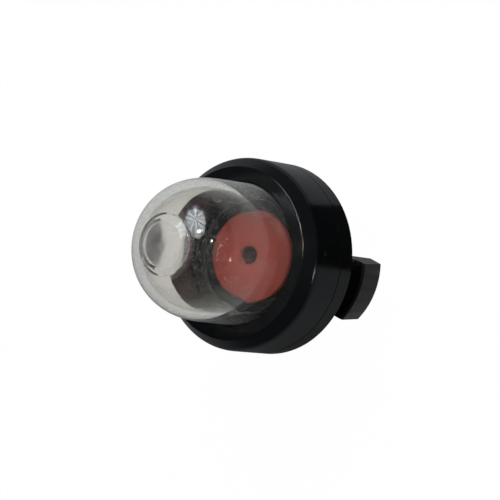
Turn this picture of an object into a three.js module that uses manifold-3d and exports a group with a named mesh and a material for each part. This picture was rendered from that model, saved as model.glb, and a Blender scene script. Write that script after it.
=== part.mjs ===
// Snap-in primer bulb of a small engine: a clear squeeze bulb held by a black cap
// on a base with two snap legs and two barbed hose nipples, round a rubber check valve.
//
// Millimetres, +Z along the bulb's axis with the dome up. The origin is the centre of the
// base flange's rear face, the face that seats on the panel. +X runs through a snap leg,
// and the outlet nipple is on the +Y side.
import * as THREE from "three";
import Module from "manifold-3d";
import { mergeVertices } from "three/addons/utils/BufferGeometryUtils.js";

const wasm = await Module();
wasm.setup();

// Clearances
const fit = 0.1; // between pieces that seat in or on each other
const partingGap = 0.15; // open line between the cap's skirt and the base flange

// Bulb
const skirtRadius = 11; // outside, where the bulb leaves the cap
const skirtDraft = 0.18; // the skirt narrows by this up to the foot of the dome
const bulbWall = 1.3;
const skirtHeight = 9.9; // from the top of the bulb's flange to the foot of the dome
const domeRise = 11.78; // from there to the crown, were it not for the pad
const domeShape = 2.6; // exponent along the axis: 2 is an ellipse, more starts flatter
const bulbLedge = 1.7; // how far the bulb's flange stands out from the skirt
const bulbFlangeThickness = 1.5;

// Thumb pad on the crown
const padRadius = 3.45;
const padEdge = 0.3; // width of the rounded edge round the pad
const padSlope = 0.7; // width of the sloped side below that edge
const padDrop = 0.8; // from the pad's rim to the moat at its foot
const padCrown = 0.25; // the pad's face bulges by this from its rim
const moatWidth = 0.3;
const padSink = 0.33; // the pad's rim lies this far below the full crown

// Cap
const capWall = 2; // round the pocket that holds the bulb's flange
const capSideHeight = 5.29; // straight side, from the parting line to the rounded corner
const cornerRadius = 1.6; // rounded corner between the side and the bevel
const cornerWidth = 0.45; // the corner comes in by this before the bevel starts
const bevelWidth = 1.15;
const bevelHeight = 1.45;
const rimBreak = 0.14; // the rim's rounding takes this much of the land and of the bevel
const rimLand = 0.15; // narrow flat along the rim
const dishDepth = 0.35; // the face falls by this from the rim to the bulb
const boreBreak = 0.25; // edge break where the face meets the bulb's bore
const mouthLead = 0.3; // lead-in chamfer of the pocket

// Snap bead that holds the cap on the base
const beadRise = 0.25;
const beadHalfWidth = 0.4;

// Base
const flangeThickness = 3;
const flangeBreak = 0.3; // edge break of the flange's rear rim
const spigotHeight = 2; // stands in the cap's pocket and carries the bulb's flange
const seatGap = 0.8; // between the bulb's bore and the valve seat
const seatRise = 0.35; // the valve seat stands this far above the spigot
const floorThickness = 0.8; // under the duckbill's chamber

// Check valve
const seatLip = 1.5; // width of the seat that shows round the valve's disc
const discRim = 0.7; // thickness of the disc at its edge
const discCrown = 0.3; // the disc is this much thicker at its middle
const discEdge = 0.25; // rounding of the disc's edge
const stemRadius = 2.2;
const stemBead = 0.4; // the bead that locks the stem under the neck
const beadLength = 0.5;
const valveBore = 1.2;
const boreCountersink = 0.3;
const lipHalfWidth = 0.36; // half the thickness of the duckbill's closed lips
const slitHalfWidth = 0.06;
const tipClearance = 0.35; // between the lips and the chamber's floor

// Passages
const neckLength = 1.25;
const chamberClearance = 0.2; // round the stem's bead
const portWall = 1.3; // between the chamber and the inlet groove
const grooveWidth = 1.6;
const grooveDepth = 1;
const cutLead = 1; // cutting shapes run past the faces that they open by this

// Hose nipples
const nippleBore = 0.75;
const nippleWall = 0.8;
const nippleLength = 11.5;
const nippleTipBreak = 0.3;
const barbRise = 0.55;
const barbLength = 1.9;
const barbPitch = 3.2;
const barbCount = 2;
const collarRise = 0.8;
const collarHeight = 1;

// Snap legs
const legOuterRadius = 10.85; // outside of the shanks, which stand in the panel's hole
const legThickness = 1.4;
const legWidth = 9.5;
const gripLength = 6.6; // from the flange to the latch shoulder
const hookReach = 1.45; // the latch shoulder stands out this far from the shank
const hookLength = 5.8; // from the shoulder to the tip
const hookBreak = 0.3; // edge break along the hook's crest
const tipThickness = 1.95;
const rootRadius = 0.8; // fillet inside, where a leg leaves the flange

// Facets
const turnSteps = 64;
const smallTurnSteps = 32;
const nippleSteps = 24;
const domeSteps = 12;
const boreSteps = 8;
const padSteps = 4;
const cornerSteps = 5;
const rimSteps = 3;
const filletSteps = 4;

// Levels along the axis
const spigotTop = flangeThickness + spigotHeight;
const bulbFoot = spigotTop + fit;
const bulbFlangeTop = bulbFoot + bulbFlangeThickness;
const domeFoot = bulbFlangeTop + skirtHeight;
const padLevel = domeFoot + domeRise - padSink;
const capFoot = flangeThickness + partingGap;
const cornerTurn = Math.acos(1 - cornerWidth / cornerRadius);
const cornerFoot = capFoot + capSideHeight;
const bevelStart = cornerFoot + cornerRadius * Math.sin(cornerTurn);
const rimLevel = bevelStart + bevelHeight;
const faceFoot = rimLevel - dishDepth;
const capShoulder = bulbFlangeTop + fit;
const beadLevel = flangeThickness + spigotHeight / 2;
const seatLevel = spigotTop + seatRise;
const discFoot = seatLevel + fit;
const discEdgeTop = discFoot + discRim;
const discTop = discEdgeTop + discCrown;
const chamberTop = seatLevel - neckLength;
const stemBeadTop = chamberTop - fit;
const billTop = stemBeadTop - beadLength;
const billTip = floorThickness + tipClearance;
const legTip = -gripLength - hookLength;

// Radii
const domeRadius = skirtRadius - skirtDraft;
const bulbBore = skirtRadius - bulbWall;
const bulbFlangeRadius = skirtRadius + bulbLedge;
const pocketRadius = bulbFlangeRadius + fit;
const capRadius = pocketRadius + capWall;
const rimRadius = capRadius - cornerWidth - bevelWidth;
const capBore = skirtRadius + fit;
const spigotRadius = pocketRadius - fit;
const seatRadius = bulbBore - seatGap;
const discRadius = seatRadius - seatLip;
const neckRadius = stemRadius + fit;
const stemBeadRadius = stemRadius + stemBead;
const chamberRadius = stemBeadRadius + chamberClearance;
const grooveInner = chamberRadius + portWall;
const grooveOuter = grooveInner + grooveWidth;
const nippleOffset = grooveInner + grooveWidth / 2;
const nippleRadius = nippleBore + nippleWall;
const barbRadius = nippleRadius + barbRise;

// A closed profile of [radius, height] points turned about the Z axis. The points run
// counter-clockwise: up the outside and down the inside.
function turned(profile, steps) {
  const points = profile.map(([radius, height]) => new THREE.Vector2(radius, height));
  return new THREE.LatheGeometry(points, steps).rotateX(Math.PI / 2);
}

// A ring's profile, closed on itself
function turnedRing(profile, steps) {
  return turned([...profile, profile[0]], steps);
}

// Points of a quarter or less of an ellipse about [radius, height], from one angle to another
function ellipseArc(centre, halfWidth, halfHeight, from, to, steps) {
  return Array.from({ length: steps + 1 }, (_, i) => {
    const angle = from + ((to - from) * i) / steps;
    return [centre[0] + halfWidth * Math.cos(angle), centre[1] + halfHeight * Math.sin(angle)];
  });
}

// Points of a dome's wall, from its foot up, between two turns of 0 at the foot and a
// quarter at the pole
function domeArc(width, rise, from, to, steps) {
  return ellipseArc([0, 0], 1, 1, from, to, steps)
    .map(([across, up]) => [width * across, domeFoot + rise * up ** (2 / domeShape)]);
}

function solidOf(geometry) {
  const bare = geometry.clone();
  bare.deleteAttribute("normal");
  bare.deleteAttribute("uv");
  const merged = mergeVertices(bare);
  const index = merged.index.array;
  const triangles = [];
  for (let i = 0; i < index.length; i += 3) {
    const [a, b, c] = index.slice(i, i + 3);
    if (a !== b && b !== c && c !== a) triangles.push(a, b, c);
  }
  return new wasm.Manifold(new wasm.Mesh({
    numProp: 3,
    vertProperties: new Float32Array(merged.attributes.position.array),
    triVerts: new Uint32Array(triangles),
  }));
}

function geometryOf(solid) {
  const mesh = solid.getMesh();
  const geometry = new THREE.BufferGeometry();
  geometry.setAttribute("position", new THREE.BufferAttribute(mesh.vertProperties, 3));
  geometry.setIndex(new THREE.BufferAttribute(mesh.triVerts, 1));
  geometry.computeVertexNormals();
  return geometry;
}

// A round bar along Z between two heights
function bar(radius, from, to, x, y, steps) {
  const geometry = new THREE.CylinderGeometry(radius, radius, to - from, steps);
  return geometry.rotateX(Math.PI / 2).translate(x, y, (from + to) / 2);
}

// Clear bulb: flange, drafted skirt, dome and the raised thumb pad, which is flat inside
function bulbGeometry() {
  const slopeFoot = padRadius + padEdge + padSlope;
  const moatOuter = slopeFoot + moatWidth;
  const innerWidth = domeRadius - bulbWall;
  const outerEnd = Math.acos(moatOuter / domeRadius);
  const innerEnd = Math.acos(moatOuter / innerWidth);
  const innerWall = domeArc(innerWidth, domeRise - bulbWall, innerEnd, 0, boreSteps);
  const face = Array.from({ length: padSteps + 1 }, (_, i) => {
    const share = 1 - i / padSteps;
    return [padRadius * share, padLevel + padCrown * (1 - share * share)];
  });
  return turned([
    [0, innerWall[0][1]],
    ...innerWall,
    [bulbBore, bulbFlangeTop],
    [bulbBore, bulbFoot],
    [bulbFlangeRadius, bulbFoot],
    [bulbFlangeRadius, bulbFlangeTop],
    [skirtRadius, bulbFlangeTop],
    ...domeArc(domeRadius, domeRise, 0, outerEnd, domeSteps),
    [slopeFoot, padLevel - padDrop],
    [padRadius + padEdge, padLevel - padEdge / 2],
    ...face,
  ], turnSteps);
}

// The rim's rounding, from the bevel to the land
function rimEdge() {
  const bevelTurn = Math.atan2(bevelHeight, bevelWidth);
  const radius = rimBreak / Math.tan(bevelTurn / 2);
  const centre = [rimRadius - rimBreak, rimLevel - radius];
  const start = Math.PI / 2 - bevelTurn;
  return ellipseArc(centre, radius, radius, start, Math.PI / 2, rimSteps);
}

// Black cap: ring with a rounded corner, a bevel and a dished face, whose shoulder clamps
// the bulb's flange
function capGeometry() {
  const cornerCentre = [capRadius - cornerRadius, cornerFoot];
  return turnedRing([
    [capRadius, capFoot],
    ...ellipseArc(cornerCentre, cornerRadius, cornerRadius, 0, cornerTurn, cornerSteps),
    ...rimEdge(),
    [rimRadius - rimLand, rimLevel],
    [capBore + boreBreak, faceFoot],
    [capBore, faceFoot - boreBreak],
    [capBore, capShoulder],
    [pocketRadius, capShoulder],
    [pocketRadius, beadLevel + beadHalfWidth],
    [pocketRadius + beadRise, beadLevel],
    [pocketRadius, beadLevel - beadHalfWidth],
    [pocketRadius, capFoot + mouthLead],
    [pocketRadius + mouthLead, capFoot],
  ], turnSteps);
}

// The base's turned body: flange, spigot with its snap bead, valve seat, inlet groove,
// neck and duckbill chamber
function baseBody() {
  return turned([
    [0, 0],
    [capRadius - flangeBreak, 0],
    [capRadius, flangeBreak],
    [capRadius, flangeThickness],
    [spigotRadius, flangeThickness],
    [spigotRadius, beadLevel - beadHalfWidth],
    [spigotRadius + beadRise, beadLevel],
    [spigotRadius, beadLevel + beadHalfWidth],
    [spigotRadius, spigotTop],
    [seatRadius, spigotTop],
    [seatRadius, seatLevel],
    [grooveOuter, seatLevel],
    [grooveOuter, seatLevel - grooveDepth],
    [grooveInner, seatLevel - grooveDepth],
    [grooveInner, seatLevel],
    [neckRadius, seatLevel],
    [neckRadius, chamberTop],
    [chamberRadius, chamberTop],
    [chamberRadius, floorThickness],
    [0, floorThickness],
  ], turnSteps);
}

// The ring that both snap legs are cut from: shank, latch shoulder, tapered hook
function legRing() {
  const inner = legOuterRadius - legThickness;
  const crest = legOuterRadius + hookReach;
  const root = flangeThickness / 2;
  return turnedRing([
    ...ellipseArc([inner - rootRadius, -rootRadius], rootRadius, rootRadius, Math.PI / 2, 0, filletSteps),
    [inner, legTip],
    [inner + tipThickness, legTip],
    [crest, -gripLength - hookBreak],
    [crest - hookBreak, -gripLength],
    [legOuterRadius, -gripLength],
    [legOuterRadius, root],
    [inner - rootRadius, root],
  ], turnSteps);
}

// The window along X that leaves one leg on each side of the ring
function legWindow() {
  const reach = 2 * (legOuterRadius + hookReach);
  const height = 2 * (gripLength + hookLength + flangeThickness);
  return new THREE.BoxGeometry(reach * 2, legWidth, height);
}

// One barbed nipple, from inside the flange down to its tip
function nippleGeometry(y) {
  const tip = -nippleLength;
  const barbs = Array.from({ length: barbCount }, (_, i) => {
    const foot = tip + nippleTipBreak + i * barbPitch;
    return [[barbRadius, foot + barbLength], [nippleRadius, foot + barbLength]].concat(
      i + 1 < barbCount ? [[nippleRadius, foot + barbPitch]] : [],
    );
  }).flat();
  return turned([
    [0, tip],
    [nippleRadius - nippleTipBreak, tip],
    [nippleRadius, tip + nippleTipBreak],
    ...barbs,
    [nippleRadius, -collarHeight],
    [nippleRadius + collarRise, -collarHeight],
    [nippleRadius + collarRise, floorThickness / 2],
    [0, floorThickness / 2],
  ], nippleSteps).translate(0, y, 0);
}

// The inlet runs straight up to the groove under the valve's disc, and the outlet turns
// inside the base into the duckbill's chamber
function passages() {
  const tip = -nippleLength - cutLead;
  const cross = floorThickness + nippleBore;
  const inlet = bar(nippleBore, tip, seatLevel - grooveDepth / 2, 0, -nippleOffset, nippleSteps);
  const outlet = bar(nippleBore, tip, cross + nippleBore, 0, nippleOffset, nippleSteps);
  const turn = new THREE.CylinderGeometry(nippleBore, nippleBore, nippleOffset, nippleSteps);
  turn.translate(0, nippleOffset / 2, cross);
  return [inlet, outlet, turn];
}

function baseGeometry() {
  let base = solidOf(baseBody());
  base = base.add(solidOf(legRing()).intersect(solidOf(legWindow())));
  for (const y of [-nippleOffset, nippleOffset]) base = base.add(solidOf(nippleGeometry(y)));
  for (const passage of passages()) base = base.subtract(solidOf(passage));
  return geometryOf(base);
}

// A wedge along X, closing downwards from one half width to another
function wedge(topHalf, tipHalf, top, tip) {
  const outline = new THREE.Shape([
    new THREE.Vector2(-topHalf, top),
    new THREE.Vector2(-tipHalf, tip),
    new THREE.Vector2(tipHalf, tip),
    new THREE.Vector2(topHalf, top),
  ]);
  const length = 4 * stemRadius;
  const geometry = new THREE.ExtrudeGeometry(outline, { depth: length, bevelEnabled: false });
  return geometry.translate(0, 0, -length / 2).rotateX(Math.PI / 2).rotateZ(Math.PI / 2);
}

// Red check valve: umbrella disc over the inlet groove, with a duckbill on its stem
function valveGeometry() {
  const head = turned([
    [0, billTop],
    [stemBeadRadius, billTop],
    [stemBeadRadius, stemBeadTop],
    [stemRadius, stemBeadTop],
    [stemRadius, discFoot],
    [discRadius, discFoot],
    [discRadius, discEdgeTop - discEdge],
    [discRadius - discEdge, discEdgeTop],
    [valveBore + boreCountersink, discTop],
    [0, discTop],
  ], turnSteps);
  const overlap = beadLength / 2;
  const bill = solidOf(bar(stemRadius, billTip, billTop + overlap, 0, 0, smallTurnSteps))
    .intersect(solidOf(wedge(stemRadius, lipHalfWidth, billTop + overlap, billTip)));
  const duct = solidOf(bar(valveBore, billTip - cutLead, discTop + cutLead, 0, 0, smallTurnSteps))
    .subtract(solidOf(new THREE.BoxGeometry(valveBore * 4, valveBore * 4, 2 * billTop)));
  const slit = solidOf(bar(valveBore, billTip - cutLead, billTop + fit, 0, 0, smallTurnSteps))
    .intersect(solidOf(wedge(valveBore, slitHalfWidth, billTop + fit, billTip - fit)));
  const mouth = solidOf(turned([
    [0, discTop - boreCountersink],
    [valveBore, discTop - boreCountersink],
    [valveBore + boreCountersink, discTop],
    [valveBore + boreCountersink, discTop + cutLead],
    [0, discTop + cutLead],
  ], smallTurnSteps));
  return geometryOf(solidOf(head).add(bill).subtract(duct).subtract(slit).subtract(mouth));
}

const clearPlastic = new THREE.MeshStandardMaterial({
  color: 0xd8d6cf, roughness: 0.12, metalness: 0, transparent: true, opacity: 0.35,
});
const blackPlastic = new THREE.MeshStandardMaterial({ color: 0x14181a, roughness: 0.42, metalness: 0 });
const redRubber = new THREE.MeshStandardMaterial({ color: 0xb8463e, roughness: 0.55, metalness: 0 });

function piece(name, geometry, material) {
  const mesh = new THREE.Mesh(geometry, material);
  mesh.name = name;
  return mesh;
}

const primerBulb = new THREE.Group();
primerBulb.add(
  piece("bulb", bulbGeometry(), clearPlastic),
  piece("retainer_cap", capGeometry(), blackPlastic),
  piece("base", baseGeometry(), blackPlastic),
  piece("check_valve", valveGeometry(), redRubber),
);

export default primerBulb;
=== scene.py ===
# %% [markdown]
# # A snap-in primer bulb
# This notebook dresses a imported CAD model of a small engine's primer bulb: a clear squeeze
# bulb, a black cap, a black base with snap legs and hose nipples, and a red check valve.
# The CAD model fixes every place and size. Blender adds fine surfaces, soft edges and finishes.

# %% Load the frame
import math

import bpy
from mathutils import Matrix, Vector


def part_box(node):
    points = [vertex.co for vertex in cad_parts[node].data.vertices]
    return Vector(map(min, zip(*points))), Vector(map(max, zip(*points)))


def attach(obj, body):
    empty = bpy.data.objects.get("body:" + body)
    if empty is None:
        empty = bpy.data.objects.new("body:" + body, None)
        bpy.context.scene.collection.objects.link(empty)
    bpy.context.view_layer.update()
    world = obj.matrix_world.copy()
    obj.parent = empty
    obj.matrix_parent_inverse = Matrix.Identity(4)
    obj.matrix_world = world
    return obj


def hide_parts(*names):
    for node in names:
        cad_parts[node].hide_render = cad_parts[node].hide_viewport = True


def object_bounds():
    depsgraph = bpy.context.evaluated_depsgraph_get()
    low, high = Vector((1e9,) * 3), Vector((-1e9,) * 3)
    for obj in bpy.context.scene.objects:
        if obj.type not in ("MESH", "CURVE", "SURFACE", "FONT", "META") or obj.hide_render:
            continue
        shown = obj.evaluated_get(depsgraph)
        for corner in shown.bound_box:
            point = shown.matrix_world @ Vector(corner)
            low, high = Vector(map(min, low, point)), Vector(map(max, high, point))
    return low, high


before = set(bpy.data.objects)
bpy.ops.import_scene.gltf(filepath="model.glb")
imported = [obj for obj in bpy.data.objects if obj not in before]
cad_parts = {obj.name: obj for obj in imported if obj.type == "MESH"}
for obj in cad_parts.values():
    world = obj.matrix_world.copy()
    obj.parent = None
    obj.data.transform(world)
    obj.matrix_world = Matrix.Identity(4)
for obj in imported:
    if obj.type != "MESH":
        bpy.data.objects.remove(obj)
cad_low, cad_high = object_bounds()
MM = 0.001
print("CAD box in mm:", [round(v / MM, 2) for v in (*cad_low, *cad_high)])

# %% [markdown]
# ## Camera
# The portrait looks down on the dome from its front, with the bulb's axis tilted away from the
# line of sight and running almost level across the picture. Three angles say this, read from
# the ellipses of the cap and from the leg. The long lens gives the flat perspective.

# %% Place the camera
VIEW_TILT = math.radians(37.26)  # between the line of sight and the bulb's axis
AXIS_SLOPE = math.radians(7.43)  # the axis falls this much to the right in the picture
LEG_TURN = math.radians(18.16)  # the leg stands this far below the picture's level
DISTANCE = 400 * MM
AIM_HEIGHT = 8.9 * MM  # the height on the axis that the distance is measured to
AIM_OFFSET = Vector((1.49, 0.64, 0)) * MM  # camera from that point, right and up
LENS = 189.2
SENSOR = 36
CLIP_NEAR, CLIP_FAR = 0.1, 20  # in camera distances

# The part's axes, written as right, up and towards the viewer
dome_up = Vector((-math.sin(VIEW_TILT) * math.cos(AXIS_SLOPE),
                  math.sin(VIEW_TILT) * math.sin(AXIS_SLOPE),
                  math.cos(VIEW_TILT)))
across_down = Vector((-math.sin(AXIS_SLOPE), -math.cos(AXIS_SLOPE), 0))
across_right = across_down.cross(-dome_up)
leg_way = across_right * math.cos(LEG_TURN) + across_down * math.sin(LEG_TURN)
photo_to_part = Matrix((leg_way, dome_up.cross(leg_way), dome_up))

bpy.ops.object.camera_add()
camera = bpy.context.object
camera.name = "portrait_camera"
camera.data.lens = LENS
camera.data.sensor_width = SENSOR
aim_point = Vector((0, 0, AIM_HEIGHT))
camera_place = aim_point + photo_to_part @ (AIM_OFFSET + Vector((0, 0, DISTANCE)))
camera.matrix_world = Matrix.Translation(camera_place) @ photo_to_part.to_4x4()
camera.data.clip_start = DISTANCE * CLIP_NEAR
camera.data.clip_end = DISTANCE * CLIP_FAR
bpy.context.scene.camera = camera
print("Camera at", [round(v / MM, 1) for v in camera_place], "mm")

# %% [markdown]
# ## Words for shaders
# A finish is easier to read as sums than as wires. This small class wraps a socket, so that
# noise * 0.5 + 0.2 adds the Math nodes that it says, and one method adds any other node.

# %% A socket that does sums
TO_CM = 100.0


class Shade:
    def __init__(self, tree, socket):
        self.tree, self.socket = tree, socket

    def sum(self, operation, first, second=0.0):
        return Finish.add(self, "ShaderNodeMath", {0: first, 1: second}, {"operation": operation})

    def __add__(self, other):
        return self.sum("ADD", self, other)

    def __sub__(self, other):
        return self.sum("SUBTRACT", self, other)

    def __mul__(self, other):
        return self.sum("MULTIPLY", self, other)

    def __rsub__(self, other):
        return self.sum("SUBTRACT", other, self)

    __radd__ = __add__
    __rmul__ = __mul__


class Finish(Shade):
    """A material, or the world, whose nodes are added by name."""

    def __init__(self, owner):
        owner.use_nodes = True
        owner.node_tree.nodes.clear()
        super().__init__(owner.node_tree, None)

    def add(self, kind, inputs=None, settings=None, output=0):
        """Add a node with its settings, and link or set its inputs."""
        node = self.tree.nodes.new(kind)
        for name, value in (settings or {}).items():
            if name == "stops":
                set_stops(node.color_ramp.elements, value)
            else:
                setattr(node, name, value)
        for name, value in (inputs or {}).items():
            if isinstance(value, Shade):
                self.tree.links.new(value.socket, node.inputs[name])
            else:
                node.inputs[name].default_value = value
        return Shade(self.tree, node.outputs[output]) if node.outputs else None

    def ramp(self, value, stops):
        """Map a number through (place, grey) stops."""
        return self.add("ShaderNodeValToRGB", {0: value}, {"stops": stops})

    def mix(self, factor, low, high):
        """Blend two colours."""
        return self.add("ShaderNodeMix", {0: factor, 6: low, 7: high}, {"data_type": "RGBA"}, 2)

    def noise(self, place, scale, detail, roughness):
        inputs = {"Vector": place, "Scale": scale, "Detail": detail, "Roughness": roughness}
        return self.add("ShaderNodeTexNoise", inputs)

    def here(self):
        """Object coordinates, which on every piece are the part's own, in metres."""
        return self.add("ShaderNodeTexCoord", output="Object")

    def part(self, vector, axis):
        """The X, Y or Z of a vector."""
        return self.add("ShaderNodeSeparateXYZ", {0: vector}, output=axis)

    def from_axis(self, place):
        """Distance from the part's axis in centimetres, which suits a ramp."""
        x, y = self.part(place, "X"), self.part(place, "Y")
        return self.sum("POWER", x * x + y * y, 0.5) * TO_CM

    def bump(self, height, strength, depth):
        return self.add("ShaderNodeBump", {"Height": height, "Strength": strength, "Distance": depth})

    def glow(self, tone, strength=1.0):
        return self.add("ShaderNodeEmission", {"Color": tone, "Strength": strength})

    def show(self, surface, owner="Material"):
        """Lead a surface to the output of its material, or of the world."""
        self.add("ShaderNodeOutput" + owner, {"Surface": surface})


def colour(red, green, blue):
    return (red, green, blue, 1.0)


def set_stops(elements, stops):
    """Set a ramp's (place, grey) stops. A new ramp already has its two ends."""
    first, last = elements
    for element, (place, grey) in ((first, stops[0]), (last, stops[-1])):
        element.position, element.color = place, colour(grey, grey, grey)
    for place, grey in stops[1:-1]:
        elements.new(place).color = colour(grey, grey, grey)


def new_material(name):
    """An empty material and its finish."""
    material = bpy.data.materials.new(name)
    return material, Finish(material)


# %% [markdown]
# ## Clear plastic
# The bulb is a soft clear moulding. It is glassy, but a little cloudy and grey-yellow, and its
# surface waves slightly, as a flexible moulding's does. A transparent mix would lose the bent
# light that draws the pad and the bright band round the dome, so this is true refraction, with
# a tint that takes the light down. A thin milky layer covers it where the wall is seen edge on,
# on the pad's face, and in specks and smears.

# %% Clear plastic finish
CLEAR_IOR = 1.45
WAVE_STRENGTH = 0.15
WAVE_DEPTH = 0.4 * MM
MILK_ROUGHNESS = 0.35
SPECK_CLOUD = 0.34
PAD_CLOUD = 0.34
PAD_FACE_FOOT = 26.6 * MM  # above this height there is only the thumb pad


def clear_plastic():
    material, finish = new_material("clear_plastic")
    here = finish.here()
    waves = finish.noise(here, 150.0, 2.0, 0.45)
    haze = finish.noise(here, 420.0, 4.0, 0.6)
    specks = finish.ramp(finish.noise(here, 3600.0, 2.0, 0.6), [(0.54, 0.0), (0.7, 1.0)])
    smears = finish.ramp(finish.noise(here, 330.0, 3.0, 0.6), [(0.42, 0.15), (0.68, 1.0)])
    on_pad = finish.ramp(finish.from_axis(here), [(0.34, 1.0), (0.4, 0.6), (0.5, 0.5), (0.56, 0.0)])
    pad_face = on_pad * finish.sum("GREATER_THAN", finish.part(here, "Z"), PAD_FACE_FOOT)
    bump = finish.bump(waves, WAVE_STRENGTH, WAVE_DEPTH)
    glass = finish.add("ShaderNodeBsdfPrincipled", {
        "Base Color": finish.mix(haze, colour(0.84, 0.84, 0.79), colour(0.92, 0.92, 0.88)),
        "Roughness": haze * 0.04 + pad_face * 0.07 + 0.01,
        "IOR": CLEAR_IOR,
        "Transmission Weight": 1.0,
        "Normal": bump,
    })
    milk = finish.add("ShaderNodeBsdfPrincipled", {
        "Base Color": finish.mix(haze, colour(0.66, 0.655, 0.62), colour(0.8, 0.795, 0.76)),
        "Roughness": MILK_ROUGHNESS,
        "Normal": bump,
    })
    edge = finish.add("ShaderNodeLayerWeight", {"Blend": 0.5, "Normal": bump}, output="Facing")
    grazing = finish.ramp(edge, [(0.42, 0.0), (0.6, 0.08), (0.76, 0.26), (0.95, 0.55)])
    cloud = grazing * (haze * 0.7 + 0.65) + specks * smears * SPECK_CLOUD + pad_face * haze * PAD_CLOUD
    finish.show(finish.add("ShaderNodeMixShader", {0: cloud, 1: glass, 2: milk}))
    return material


clear = clear_plastic()
print("Finish:", clear.name)

# %% [markdown]
# ## Black plastic
# Glass-filled nylon is never quite smooth: a fine spark-eroded grain breaks up its gloss, and
# handling leaves slightly smoother and duller patches. Colour hardly changes, so most of the
# look is in roughness and a very small bump.

# %% Black plastic finish
BLACK_IOR = 1.5
GRAIN_DEPTH = 0.05 * MM
DARKER, LIGHTER = 0.75, 1.3
DUST_COVER = 0.04


def black_plastic(name, base, grain_strength):
    material, finish = new_material(name)
    here = finish.here()
    grain = finish.noise(here, 2600.0, 3.0, 0.6)
    patches = finish.noise(here, 160.0, 3.0, 0.55)
    dust = finish.ramp(finish.noise(here, 1900.0, 1.0, 0.4), [(0.72, 0.0), (0.8, 1.0)])
    low, high = (colour(*[part * share for part in base]) for share in (DARKER, LIGHTER))
    dark = finish.mix(patches, low, high)
    finish.show(finish.add("ShaderNodeBsdfPrincipled", {
        "Base Color": finish.mix(dust * DUST_COVER, dark, colour(0.3, 0.31, 0.32)),
        "Roughness": patches * 0.12 + grain * 0.08 + 0.08,
        "IOR": BLACK_IOR,
        "Normal": finish.bump(grain, grain_strength, GRAIN_DEPTH),
    }))
    return material


cap_black = black_plastic("cap_black", (0.003, 0.0038, 0.0042), 0.25)
base_black = black_plastic("base_black", (0.0036, 0.004, 0.0042), 0.3)
print("Finishes:", cap_black.name, base_black.name)

# %% [markdown]
# ## Red rubber
# Silicone rubber is dull and evenly coloured, with a faint bloom. Low gloss and a slow colour
# change keep it from looking like paint. The bore and a ring round its mouth are painted darker, as
# painted shade in the hole.

# %% Red rubber finish
RUBBER_IOR = 1.43
BLOOM_COVER = 0.35
MOTTLE_STRENGTH = 0.15


def red_rubber():
    material, finish = new_material("red_rubber")
    here = finish.here()
    mottle = finish.noise(here, 900.0, 4.0, 0.6)
    slow = finish.noise(here, 120.0, 2.0, 0.5)
    ragged = finish.from_axis(here) + mottle * 0.06
    # Painted shade: the colour darkens inside the bore and in a ragged ring round its mouth, by distance
    # from the axis.
    painted_bore_shade = finish.ramp(ragged, [(0.145, 0.85), (0.185, 0.3), (0.24, 0.0)])
    tone = finish.mix(mottle, colour(0.31, 0.043, 0.034), colour(0.42, 0.07, 0.056))
    bloom = finish.mix(slow * BLOOM_COVER, tone, colour(0.45, 0.12, 0.1))
    finish.show(finish.add("ShaderNodeBsdfPrincipled", {
        "Base Color": finish.mix(painted_bore_shade, bloom, colour(0.03, 0.012, 0.012)),
        "Roughness": mottle * 0.15 + 0.5,
        "IOR": RUBBER_IOR,
        "Normal": finish.bump(mottle, MOTTLE_STRENGTH, GRAIN_DEPTH),
    }))
    return material


rubber = red_rubber()
print("Finish:", rubber.name)

# %% [markdown]
# ## Turning
# Every main piece was turned as a tool cavity, so it is round about one axis. By hand one
# would draw a circle, extrude its edge and resize it, ring after ring. This helper does just
# that, so each piece below is only a list of rings.

# %% Ring tools
SEGMENTS = 160
FINE_SEGMENTS = 192
EDGE_STEPS = 3
NEAR = 0.001 * MM


def deselect_everything():
    for thing in bpy.context.selected_objects:
        thing.select_set(False)


def pick_ring(piece, radius, height):
    """Select the edges of one ring, by its place, and stay in edit mode."""
    bpy.ops.mesh.select_mode(type="VERT")
    bpy.ops.mesh.select_all(action="DESELECT")
    bpy.ops.object.mode_set(mode="OBJECT")
    for vertex in piece.data.vertices:
        flat = math.hypot(vertex.co.x, vertex.co.y)
        vertex.select = abs(flat - radius) < NEAR and abs(vertex.co.z - height) < NEAR
    bpy.ops.object.mode_set(mode="EDIT")


def step_ring(here, there):
    """Extrude the selected ring and take it to the next radius, height and flatness."""
    rise = there[1] - here[1]
    wide = there[0] / here[0]
    deep = wide * there[2] / here[2]
    bpy.ops.mesh.extrude_edges_move(TRANSFORM_OT_translate={"value": (0, 0, rise)})
    bpy.ops.transform.resize(value=(wide, deep, 1), center_override=(0, 0, there[1]))


def close_pole(height_change):
    """Close the selected ring in one point on the axis."""
    bpy.ops.mesh.extrude_edges_move(TRANSFORM_OT_translate={"value": (0, 0, height_change)})
    bpy.ops.mesh.merge(type="CENTER")


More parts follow.
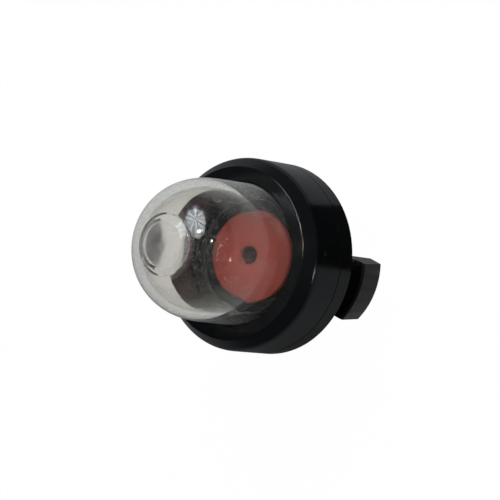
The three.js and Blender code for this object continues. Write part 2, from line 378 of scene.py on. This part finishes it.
def turn_piece(name, rings, segments=SEGMENTS, start_pole=None, end_pole=None):
    """Turn a list of (radius, height) rings in millimetres, with an optional flatness.

    A pole is a height on the axis where the surface closes. With no poles the last ring
    is joined to the first, which makes a ring-shaped piece."""
    rings = [(ring[0] * MM, ring[1] * MM, ring[2] if len(ring) > 2 else 1.0) for ring in rings]
    deselect_everything()
    bpy.ops.mesh.primitive_circle_add(
        vertices=segments, radius=rings[0][0], location=(0, 0, rings[0][1]))
    piece = bpy.context.object
    piece.name = name
    bpy.ops.object.transform_apply(location=True)
    bpy.ops.object.mode_set(mode="EDIT")
    bpy.ops.mesh.select_all(action="SELECT")
    path = rings if end_pole is not None else rings + rings[:1]
    for here, there in zip(path, path[1:]):
        step_ring(here, there)
    if end_pole is not None:
        close_pole(end_pole * MM - rings[-1][1])
    if start_pole is not None:
        pick_ring(piece, rings[0][0], rings[0][1])
        close_pole(start_pole * MM - rings[0][1])
    bpy.ops.mesh.select_all(action="SELECT")
    bpy.ops.mesh.remove_doubles(threshold=NEAR)
    bpy.ops.mesh.normals_make_consistent(inside=False)
    bpy.ops.object.mode_set(mode="OBJECT")
    return piece


def soften(piece, width, angle):
    """Round every edge sharper than the angle a little, as a moulding's edges are."""
    deselect_everything()
    piece.select_set(True)
    bpy.context.view_layer.objects.active = piece
    bevel = piece.modifiers.new("edge", "BEVEL")
    bevel.width = width * MM
    bevel.segments = EDGE_STEPS
    bevel.limit_method = "ANGLE"
    bevel.angle_limit = math.radians(angle)
    bpy.ops.object.modifier_apply(modifier=bevel.name)
    bpy.ops.object.shade_smooth_by_angle(angle=math.radians(angle))


def angles(start, end, steps):
    """Even steps from one angle in degrees to another, in radians."""
    return [math.radians(start + (end - start) * i / steps) for i in range(steps + 1)]


def arc(centre, radius, foot, start, end, steps):
    """Rings along an arc, whose centre is at that distance from the axis and that height."""
    return [(centre + radius * math.cos(a), foot + radius * math.sin(a))
            for a in angles(start, end, steps)]


def dress(piece, body, node, material):
    """Give a piece its finish and its place in the part."""
    piece.data.materials.clear()
    piece.data.materials.append(material)
    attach(piece, body)
    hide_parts(node)
    print(piece.name, len(piece.data.polygons), "faces")


# %% [markdown]
# ## The bulb
# The bulb is one hollow moulding: a flange that the cap clamps, a slightly drafted skirt, a
# dome a little flatter than a ball, and a raised pad for the thumb. The wall is a real wall,
# with an inner and an outer surface, because both bend and reflect the light.

# %% Model the bulb
bulb_low, bulb_high = (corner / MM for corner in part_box("bulb"))
SKIRT = 10.88
DOME = 10.8
WALL = 1.3
FLANGE_HEIGHT = 1.5
EQUATOR = 16.5
DOME_RISE = 11.78
DOME_SHAPE = 2.6  # 2 would be an ellipse
DOME_STEPS = 34
INNER_STEPS = 30
PAD = 3.45
PAD_EDGE = 0.3
PAD_SLOPE = 0.7
PAD_DROP = 0.8
PAD_CROWN = 0.25
PAD_BULGE = 0.28  # of the pad's inside, towards the disc
INNER_PAD = 3.85
CROWN_STEPS = 8
MOAT = 0.3
pad_level = bulb_high.z
flange_top = bulb_low.z + FLANGE_HEIGHT
moat_outer = PAD + PAD_EDGE + PAD_SLOPE + MOAT
dome_end = math.degrees(math.acos(moat_outer / DOME))
inner_end = math.degrees(math.acos(INNER_PAD / (DOME - WALL)))


def dome_arc(width, rise, end, steps):
    """Rings along a dome whose curve starts flat at the skirt and tightens to the crown."""
    return [(width * math.cos(a), EQUATOR + rise * math.sin(a) ** (2 / DOME_SHAPE))
            for a in angles(0, end, steps)]


def crown(width, foot, rise):
    """Rings along a shallow crown, from its rim inwards. A pole then closes it."""
    shares = [math.cos(a) for a in angles(0, 90, CROWN_STEPS)[:-1]]
    return [(width * share, foot + rise * (1 - share * share)) for share in shares]


inner_wall = dome_arc(DOME - WALL, DOME_RISE - WALL, inner_end, INNER_STEPS)
inner_pad_level = inner_wall[-1][1]
bulb_rings = [
    *reversed(crown(INNER_PAD, inner_pad_level, -PAD_BULGE)[1:]),
    *reversed(inner_wall),
    (SKIRT - WALL, flange_top),
    (SKIRT - WALL, bulb_low.z),
    (bulb_high.x, bulb_low.z),
    (bulb_high.x, flange_top),
    (SKIRT, flange_top),
    *dome_arc(DOME, DOME_RISE, dome_end, DOME_STEPS),
    (PAD + PAD_EDGE + PAD_SLOPE, pad_level - PAD_CROWN - PAD_DROP),
    (PAD + PAD_EDGE, pad_level - PAD_CROWN - PAD_EDGE / 2),
    *crown(PAD, pad_level - PAD_CROWN, PAD_CROWN),
]
bulb = turn_piece("squeeze_bulb", bulb_rings,
                  start_pole=inner_pad_level - PAD_BULGE, end_pole=pad_level)
soften(bulb, width=0.1, angle=18)
dress(bulb, "root", "bulb", clear)

# %% [markdown]
# ## The cap
# The cap is a plain ring, so its looks are in its edges: a crisp rim that catches one thin
# line of light, a bevel that falls away from it, and a face that dips towards the bulb.

# %% Model the cap
cap_low, cap_high = (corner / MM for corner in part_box("retainer_cap"))
BEVEL_WIDTH = 1.15
BEVEL_HEIGHT = 1.45
CORNER_WIDTH = 0.45
CORNER_RADIUS = 1.6
CORNER_STEPS = 8
RIM_BREAK = 0.14
RIM_STEPS = 6
DISH = 0.35
BORE_BREAK = 0.12
FIT = 0.1
POCKET = 12.8
MOUTH_LEAD = 0.3
BEAD_HEIGHT = 4.0
BEAD_RISE = 0.25
BEAD_REACH = 0.4
cap_radius, rim_level = cap_high.x, cap_high.z
rim_radius = cap_radius - CORNER_WIDTH - BEVEL_WIDTH
corner_turn = math.degrees(math.acos(1 - CORNER_WIDTH / CORNER_RADIUS))
corner_foot = rim_level - BEVEL_HEIGHT - CORNER_RADIUS * math.sin(math.radians(corner_turn))
corner = arc(cap_radius - CORNER_RADIUS, CORNER_RADIUS, corner_foot, 0, corner_turn, CORNER_STEPS)
bevel_turn = math.atan2(BEVEL_HEIGHT, BEVEL_WIDTH)
rim_curve = RIM_BREAK / math.tan(bevel_turn / 2)
rim_turns = [bevel_turn * i / RIM_STEPS for i in range(RIM_STEPS, -1, -1)]
rim_edge = [(rim_radius - RIM_BREAK + rim_curve * math.sin(a), rim_level - rim_curve * (1 - math.cos(a)))
            for a in rim_turns]
cap_rings = [
    (cap_radius, cap_low.z),
    *corner,
    *rim_edge,
    (SKIRT + FIT + BORE_BREAK, rim_level - DISH),
    (SKIRT + FIT, rim_level - DISH - BORE_BREAK),
    (SKIRT + FIT, flange_top + FIT),
    (POCKET, flange_top + FIT),
    (POCKET, BEAD_HEIGHT + BEAD_REACH),
    (POCKET + BEAD_RISE, BEAD_HEIGHT),
    (POCKET, BEAD_HEIGHT - BEAD_REACH),
    (POCKET, cap_low.z + MOUTH_LEAD),
    (POCKET + MOUTH_LEAD, cap_low.z),
]
cap = turn_piece("cap_ring", cap_rings, segments=FINE_SEGMENTS)
soften(cap, width=0.07, angle=12)
print("Cap has", len(cap.data.polygons), "faces")

# %% [markdown]
# ## Joining and cutting
# What can't be turned is joined or cut with booleans. The first is a small pip on the
# cap's side, the scar of its mould's gate. It is sunk, so it stands less than 0.2 mm proud.


# %% Boolean helper
def cut(piece, tool, operation):
    """Join two closed pieces, cut one with the other, or keep what they share."""
    deselect_everything()
    piece.select_set(True)
    bpy.context.view_layer.objects.active = piece
    boolean = piece.modifiers.new("boolean", "BOOLEAN")
    boolean.operation = operation
    boolean.solver = "EXACT"
    boolean.object = tool
    bpy.ops.object.modifier_apply(modifier=boolean.name)
    bpy.data.objects.remove(tool)


# %% Add the gate pip on the cap
PIP_TURN = math.radians(25)  # round the axis from the leg
PIP_HEIGHT = 7.4
PIP_RADIUS = 0.42
PIP_SINK = 0.27
out = cap_radius - PIP_SINK
deselect_everything()
bpy.ops.mesh.primitive_uv_sphere_add(
    segments=24, ring_count=12, radius=PIP_RADIUS * MM,
    location=(out * math.cos(PIP_TURN) * MM, out * math.sin(PIP_TURN) * MM, PIP_HEIGHT * MM))
pip = bpy.context.object
bpy.ops.object.transform_apply(location=True)
cut(cap, pip, "UNION")
dress(cap, "root", "retainer_cap", cap_black)

# %% [markdown]
# ## The base
# The base carries everything else: the flange that closes the cap, the valve's seat, two hose
# nipples and two snap legs. Its round body is turned first, with the groove and the chamber
# as part of its rings, and the rest is joined to it.

# %% Model the base's round body
base_low, base_high = (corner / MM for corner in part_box("base"))
FLANGE = 3.0
FLANGE_BREAK = 0.3
SPIGOT_TOP = 5.0
SPIGOT = 12.7
SEAT = 8.9
GROOVE_INNER, GROOVE_OUTER = 4.1, 5.7
GROOVE_DEPTH = 1.0
NECK = 2.3
NECK_LENGTH = 1.25
CHAMBER = 2.8
FLOOR = 0.8
seat_level = base_high.z
body_rings = [
    (base_high.x - FLANGE_BREAK, 0),
    (base_high.x, FLANGE_BREAK),
    (base_high.x, FLANGE),
    (SPIGOT, FLANGE),
    (SPIGOT, BEAD_HEIGHT - BEAD_REACH),
    (SPIGOT + BEAD_RISE, BEAD_HEIGHT),
    (SPIGOT, BEAD_HEIGHT + BEAD_REACH),
    (SPIGOT, SPIGOT_TOP),
    (SEAT, SPIGOT_TOP),
    (SEAT, seat_level),
    (GROOVE_OUTER, seat_level),
    (GROOVE_OUTER, seat_level - GROOVE_DEPTH),
    (GROOVE_INNER, seat_level - GROOVE_DEPTH),
    (GROOVE_INNER, seat_level),
    (NECK, seat_level),
    (NECK, seat_level - NECK_LENGTH),
    (CHAMBER, seat_level - NECK_LENGTH),
    (CHAMBER, FLOOR),
]
base = turn_piece("base_moulding", body_rings, start_pole=0, end_pole=FLOOR)
print("Base body has", len(base.data.polygons), "faces")

# %% [markdown]
# ## The snap legs
# Two springy legs go through the panel's hole and hook behind it. Their outer faces follow
# the hole. So both are made at once, as a turned ring that a box cuts down to two strips:
# a bar drawn flat and extruded would have no true arc outside.

# %% Model the snap legs
LEG_OUTER = 10.85
LEG_THICKNESS = 1.4
LEG_WIDTH = 9.5
GRIP = 6.6
HOOK_REACH = 1.45
HOOK_BREAK = 0.3
TIP_THICKNESS = 1.95
ROOT_RADIUS = 0.8
ROOT_STEPS = 6
WINDOW_HEIGHT = 60
leg_inner = LEG_OUTER - LEG_THICKNESS
crest = LEG_OUTER + HOOK_REACH
leg_rings = [
    *arc(leg_inner - ROOT_RADIUS, ROOT_RADIUS, -ROOT_RADIUS, 90, 0, ROOT_STEPS),
    (leg_inner, base_low.z),
    (leg_inner + TIP_THICKNESS, base_low.z),
    (crest, -GRIP - HOOK_BREAK),
    (crest - HOOK_BREAK, -GRIP),
    (LEG_OUTER, -GRIP),
    (LEG_OUTER, FLANGE / 2),
    (leg_inner - ROOT_RADIUS, FLANGE / 2),
]
legs = turn_piece("legs", leg_rings, segments=FINE_SEGMENTS)
deselect_everything()
bpy.ops.mesh.primitive_cube_add(size=1, scale=(4 * crest * MM, LEG_WIDTH * MM, WINDOW_HEIGHT * MM))
window = bpy.context.object
bpy.ops.object.transform_apply(scale=True)
cut(legs, window, "INTERSECT")
print("Legs have", len(legs.data.polygons), "faces")

# %% [markdown]
# ## The hose nipples
# The fuel hoses push on to two barbed nipples. Barbs are turned shapes too, so a nipple is a
# list of rings, moved beside the axis and joined to the base. A second turned shape cuts its
# bore. The inlet's bore ends in the groove, and a cross passage joins the outlet's bore to
# the chamber.

# %% Model the nipples
NIPPLE_BORE = 0.75
NIPPLE = 1.55
NIPPLE_LENGTH = 11.5
NIPPLE_OFFSET = 4.9
TIP_BREAK = 0.3
BARB_RISE = 0.55
BARB_LENGTH = 1.9
BARB_PITCH = 3.2
COLLAR_RISE = 0.8
COLLAR_HEIGHT = 1.0
OVERRUN = 1
first_barb = -NIPPLE_LENGTH + TIP_BREAK
nipple_rings = [
    (NIPPLE - TIP_BREAK, -NIPPLE_LENGTH),
    (NIPPLE, first_barb),
    (NIPPLE + BARB_RISE, first_barb + BARB_LENGTH),
    (NIPPLE, first_barb + BARB_LENGTH),
    (NIPPLE, first_barb + BARB_PITCH),
    (NIPPLE + BARB_RISE, first_barb + BARB_PITCH + BARB_LENGTH),
    (NIPPLE, first_barb + BARB_PITCH + BARB_LENGTH),
    (NIPPLE, -COLLAR_HEIGHT),
    (NIPPLE + COLLAR_RISE, -COLLAR_HEIGHT),
    (NIPPLE + COLLAR_RISE, FLOOR / 2),
]
bore_foot = -NIPPLE_LENGTH - OVERRUN
inlet_top = seat_level - GROOVE_DEPTH / 2  # the inlet opens into the groove
outlet_top = FLOOR + 2 * NIPPLE_BORE
for side, bore_top in ((-1, inlet_top), (1, outlet_top)):
    nipple = turn_piece("nipple", nipple_rings, segments=64,
                        start_pole=-NIPPLE_LENGTH, end_pole=FLOOR / 2)
    nipple.location.y = side * NIPPLE_OFFSET * MM
    bpy.ops.object.transform_apply(location=True)
    cut(base, nipple, "UNION")
    bore = turn_piece("bore", [(NIPPLE_BORE, bore_foot), (NIPPLE_BORE, bore_top)], segments=48,
                      start_pole=bore_foot, end_pole=bore_top)
    bore.location.y = side * NIPPLE_OFFSET * MM
    bpy.ops.object.transform_apply(location=True)
    cut(base, bore, "DIFFERENCE")
passage_height = FLOOR + NIPPLE_BORE  # from the chamber to the outlet
deselect_everything()
bpy.ops.mesh.primitive_cylinder_add(
    vertices=48, radius=NIPPLE_BORE * MM, depth=NIPPLE_OFFSET * MM, rotation=(math.pi / 2, 0, 0),
    location=(0, NIPPLE_OFFSET / 2 * MM, passage_height * MM))
passage = bpy.context.object
bpy.ops.object.transform_apply(location=True, rotation=True)
cut(base, passage, "DIFFERENCE")
cut(base, legs, "UNION")
soften(base, width=0.08, angle=24)
dress(base, "root", "base", base_black)

# %% [markdown]
# ## The check valve
# The valve is one rubber moulding. Its umbrella disc covers the inlet groove and its stem
# runs down into a duckbill, whose lips close to a slit. The same rings make it: lower down
# they are flattened as well as resized, outside for the lips and inside for the slit.

# %% Model the valve
valve_low, valve_high = (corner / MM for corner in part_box("check_valve"))
STEM = 2.2
STEM_BEAD = 0.4
BEAD_LENGTH = 0.5
VALVE_BORE = 1.2
COUNTERSINK = 0.3
DISC_CROWN = 0.3
DISC_EDGE = 0.25
LIP = 0.36
SLIT = 0.06
disc_foot = seat_level + FIT
disc_top = valve_high.z
disc_edge_top = disc_top - DISC_CROWN
bead_top = seat_level - NECK_LENGTH - FIT
bill_top = bead_top - BEAD_LENGTH
valve_rings = [
    (VALVE_BORE + COUNTERSINK, disc_top),
    (VALVE_BORE, disc_top - COUNTERSINK),
    (VALVE_BORE, bill_top),
    (VALVE_BORE, valve_low.z, SLIT / VALVE_BORE),
    (STEM, valve_low.z, LIP / STEM),
    (STEM, bill_top),
    (STEM + STEM_BEAD, bill_top),
    (STEM + STEM_BEAD, bead_top),
    (STEM, bead_top),
    (STEM, disc_foot),
    (valve_high.x, disc_foot),
    (valve_high.x, disc_edge_top - DISC_EDGE),
    (valve_high.x - DISC_EDGE, disc_edge_top),
]
valve = turn_piece("umbrella_valve", valve_rings, segments=128)
soften(valve, width=0.12, angle=20)
dress(valve, "root", "check_valve", rubber)

# %% [markdown]
# ## Floor and background
# The camera sees the floor and the room behind it as plain white, so the background is white
# without more light on the part. The clear bulb shows less than that white, and less again
# where its own wall mirrors it, which takes the dome to its grey. To everything else the floor
# is grey paper in a dim room.

# %% Floor and world
FLOOR_SIZE = 4.0
FLOOR_GAP = 0.5 * MM
THROUGH_SHARE = 0.63  # of white, as the clear bulb shows it
MATT_SHARE = 0.2  # of white, as it lights matt surfaces
FLOOR_SEEN, FLOOR_MIRRORED = 0.96, 0.46  # of white, to the camera and mirrored in the bulb
ROOM_SEEN, ROOM_MIRRORED = 1.0, 0.08
PAPER_GLOW = 1.03
floor_height = cad_low.z - FLOOR_GAP
deselect_everything()
bpy.ops.mesh.primitive_plane_add(size=FLOOR_SIZE, location=(0, 0, floor_height))
floor = bpy.context.object
floor.name = "floor"


def seen_share(finish, seen, mirrored_share):
    """How white a ray finds the stage. It depends on how the ray came there."""
    camera_ray, matt_ray, through_ray, mirrors = (
        finish.add("ShaderNodeLightPath", output=name)
        for name in ("Is Camera Ray", "Is Diffuse Ray", "Is Transmission Ray", "Glossy Depth"))
    mirrored = finish.sum("MINIMUM", mirrors, 1.0)
    through = through_ray * (THROUGH_SHARE - mirrored * (THROUGH_SHARE - mirrored_share))
    return finish.sum("MAXIMUM", camera_ray * seen, through) + matt_ray * MATT_SHARE


def paper():
    material, finish = new_material("white_paper")
    diffuse = finish.add("ShaderNodeBsdfDiffuse", {"Color": colour(0.25, 0.25, 0.25)})
    glow = finish.glow(colour(1, 1, 1), PAPER_GLOW)
    share = seen_share(finish, FLOOR_SEEN, FLOOR_MIRRORED)
    finish.show(finish.add("ShaderNodeMixShader", {0: share, 1: diffuse, 2: glow}))
    return material


floor.data.materials.append(paper())

world = bpy.data.worlds.new("room")
bpy.context.scene.world = world
room = Finish(world)
dim = room.add("ShaderNodeBackground", {"Color": colour(0.055, 0.061, 0.07), "Strength": 1.0})
white = room.add("ShaderNodeBackground", {"Color": colour(1, 1, 1), "Strength": 1.0})
room_share = seen_share(room, ROOM_SEEN, ROOM_MIRRORED)
room.show(room.add("ShaderNodeMixShader", {0: room_share, 1: dim, 2: white}), "World")
print("Floor at", round(floor_height / MM, 2), "mm")

# %% [markdown]
# ## Light
# A big studio umbrella stands up and to the left in front of the part and is the only lamp.
# Gloss doesn't show the lamp itself. It shows a ribbed cloth in the lamp's place, as a bluish
# patch in the dome, and three small discs as bright warm points. The cloth and the discs light
# nothing else.


# %% Lamps
def aim_from_camera(right, up, towards, distance):
    """A place at a distance from the part, facing it, in the picture's own directions."""
    way = photo_to_part @ Vector((right, up, towards)).normalized()
    across = (photo_to_part @ Vector((1, 0, 0))).cross(way).normalized()
    turned = Matrix((across.cross(way) * -1, across * -1, way)).transposed()
    return Matrix.Translation(aim_point + way * distance) @ turned.to_4x4()


def soft_lamp(name, direction, distance, width, height, radiance, tone):
    """An elliptical area lamp. Its power follows from its size and its radiance."""
    deselect_everything()
    bpy.ops.object.light_add(type="AREA")
    lamp = bpy.context.object
    lamp.name = name
    lamp.data.shape = "ELLIPSE"
    lamp.data.size, lamp.data.size_y = width, height
    lamp.data.energy = radiance * math.pi * math.pi * width * height / 4
    lamp.data.color = tone
    lamp.matrix_world = aim_from_camera(*direction, distance)
    return lamp


UMBRELLA_WAY = (-0.3, 0.68, 0.66)
UMBRELLA_DISTANCE = 0.6
UMBRELLA_WIDTH = 0.34
UMBRELLA_HEIGHT = 0.6
UMBRELLA_RADIANCE = 7.0
UMBRELLA_TONE = (0.93, 0.96, 1.0)
umbrella = soft_lamp("umbrella", UMBRELLA_WAY, UMBRELLA_DISTANCE, UMBRELLA_WIDTH, UMBRELLA_HEIGHT,
                     UMBRELLA_RADIANCE, UMBRELLA_TONE)
umbrella.visible_glossy = False
print("Lamp:", round(umbrella.data.energy, 2), "W")


# %% Shapes that only mirrors see
def mirror_only(piece):
    """Keep a stage piece out of everything but reflections."""
    for ray in ("camera", "diffuse", "shadow", "transmission"):
        setattr(piece, "visible_" + ray, False)


def glow_disc(name, direction, distance, width, height):
    """Add a flat oval that faces the part, and give back its finish, still without a glow."""
    deselect_everything()
    bpy.ops.mesh.primitive_circle_add(vertices=96, radius=0.5, fill_type="TRIFAN")
    disc = bpy.context.object
    disc.name = name
    disc.scale = (width, height, 1)
    bpy.ops.object.transform_apply(scale=True)
    disc.matrix_world = aim_from_camera(*direction, distance)
    material, finish = new_material(name)
    disc.data.materials.append(material)
    mirror_only(disc)
    return finish


# %% [markdown]
# ## What gloss shows of the lights
# An umbrella isn't evenly bright: its cloth glows more between the spokes, and less towards
# its rim. A sine of the angle round its middle draws the bright fields, which is simpler than
# a model of the cloth. The small discs stand where a warm lamp would show in the dome.

# %% Umbrella cloth
RIBS = 10
RIB_TURN = 0.4
RIB_GLOW = 20.0
weave = glow_disc("umbrella_cloth", UMBRELLA_WAY, UMBRELLA_DISTANCE, UMBRELLA_WIDTH, UMBRELLA_HEIGHT)
across, upward = weave.part(weave.here(), "X"), weave.part(weave.here(), "Y")
turn = weave.sum("ARCTAN2", upward, across)
ribs = weave.sum("ABSOLUTE", weave.sum("SINE", turn * (RIBS / 2) + RIB_TURN))
patchy = weave.noise(weave.here(), 9.0, 3.0, 0.6)
spread = across * across * (2 / UMBRELLA_WIDTH) ** 2 + upward * upward * (2 / UMBRELLA_HEIGHT) ** 2
fade = weave.ramp(spread, [(0.0, 1.0), (0.5, 0.7), (1.0, 0.1)])
cloth_tone = weave.mix(ribs, colour(0.5, 0.62, 1.0), colour(0.85, 0.92, 1.0))
cloth_glow = (weave.sum("POWER", ribs, 3.0) * patchy * RIB_GLOW + 1.0) * fade
weave.show(weave.glow(cloth_tone, cloth_glow))
print("The cloth has", RIBS, "ribs")

# %% Small lights in the room
for name, direction, distance, width, height, strength, tone in (
    ("warm_bulb", (-0.234, 0.438, 0.868), 0.518, 0.055, 0.036, 130.0, (1.0, 0.86, 0.7)),
    ("small_bulb", (0.111, 0.222, 0.969), 0.517, 0.036, 0.034, 200.0, (1.0, 0.84, 0.68)),
    ("strip_light", (0.66, -0.253, 0.707), 0.511, 0.02, 0.05, 55.0, (1.0, 0.95, 0.9)),
):
    shine = glow_disc(name, direction, distance, width, height)
    shine.show(shine.glow(colour(*tone), strength))
    print(name, "shows only in mirrors")

# %% [markdown]
# ## Cards
# Black gloss shows its surroundings more than its colour. In the studio one lays cards beside
# such a part, and so does this cell: a dark sector on the floor to one side of the leg, and a
# pale disc under the part, which lights the leg. Only mirror rays see them.

# %% Cards
CARD_GAP = 0.2 * MM
PINHOLE = 0.5 * MM
PALE_RADIUS = 19 * MM
DARK_RADIUS = 1.2
DARK_FROM, DARK_TO = 16, 73  # degrees round the axis from the leg


def gloss_card(name, inner, outer, start, end, tone):
    """A flat ring of card round the part, or a sector of it between two angles from the leg."""
    deselect_everything()
    bpy.ops.mesh.primitive_circle_add(
        vertices=180, radius=inner, location=(0, 0, floor_height + CARD_GAP))
    card = bpy.context.object
    card.name = name
    bpy.ops.object.mode_set(mode="EDIT")
    bpy.ops.mesh.select_all(action="SELECT")
    bpy.ops.mesh.extrude_edges_move(TRANSFORM_OT_translate={"value": (0, 0, 0)})
    bpy.ops.transform.resize(value=(outer / inner, outer / inner, 1), center_override=(0, 0, 0))
    bpy.ops.mesh.select_all(action="DESELECT")
    bpy.ops.object.mode_set(mode="OBJECT")
    for face in card.data.polygons:
        turn = math.degrees(math.atan2(face.center.y, face.center.x))
        face.select = not start <= turn <= end
    bpy.ops.object.mode_set(mode="EDIT")
    bpy.ops.mesh.delete(type="FACE")
    bpy.ops.object.mode_set(mode="OBJECT")
    material, finish = new_material(name)
    finish.show(finish.glow(colour(*tone)))
    card.data.materials.append(material)
    mirror_only(card)
    print(name, "has", len(card.data.polygons), "faces")


gloss_card("dark_card", PALE_RADIUS, DARK_RADIUS, DARK_FROM, DARK_TO, (0.01, 0.01, 0.01))
gloss_card("pale_card", PINHOLE, PALE_RADIUS, -180, 180, (0.18, 0.18, 0.19))

# %% [markdown]
# ## View transform
# Colours render as they are written, with the Standard view transform.

# %% Set the view transform
bpy.context.scene.view_settings.view_transform = "Standard"
